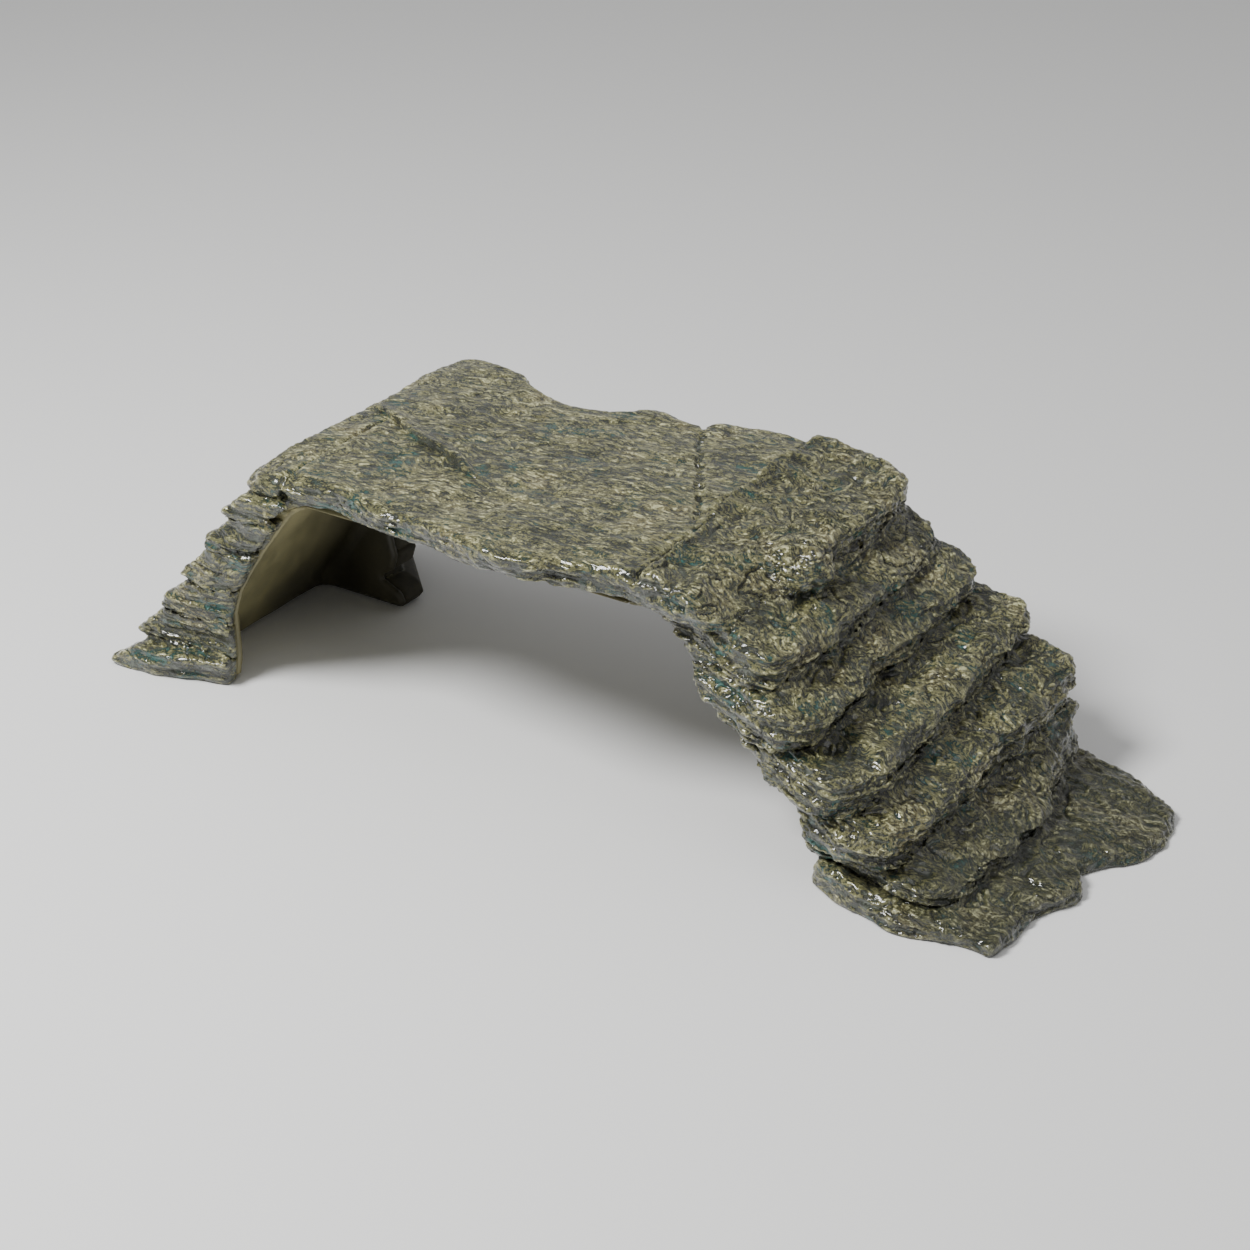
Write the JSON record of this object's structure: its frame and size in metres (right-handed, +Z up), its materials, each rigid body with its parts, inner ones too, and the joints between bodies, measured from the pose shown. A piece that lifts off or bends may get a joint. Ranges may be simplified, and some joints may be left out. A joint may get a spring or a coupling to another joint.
{
  "type": "resin cave ornament",
  "caption": "Arched rock-slab cave ornament with a flat basking deck on a steep ledged leg and a flight of stair ledges that runs down to a thin apron.",
  "frame": {"origin": "on the ground, midway between the tip of the steep foot and the tip of the apron, and midway between front and back", "axes": "+X runs from the steep leg to the stairs, +Y from the front to the back, +Z up"},
  "size_m": [0.4, 0.139, 0.103],
  "materials": {
    "painted_rock": "varnished cast resin, dry-brushed as slate",
    "bare_resin": "smooth unpainted cream resin"
  },
  "bodies": {
    "root": {"left_ledge_1": "painted_rock", "left_ledge_2": "painted_rock", "left_ledge_3": "painted_rock", "left_ledge_4": "painted_rock", "left_ledge_5": "painted_rock", "left_ledge_6": "painted_rock", "left_ledge_7": "painted_rock", "deck_slab": "painted_rock", "deck_rear_plate": "painted_rock", "nose_block": "painted_rock", "step_1": "painted_rock", "step_2": "painted_rock", "step_3": "painted_rock", "step_4": "painted_rock", "step_5": "painted_rock", "step_6": "painted_rock", "apron": "painted_rock", "skin_left": "bare_resin", "skin_deck": "bare_resin", "skin_right": "bare_resin"}
  },
  "joints": []
}
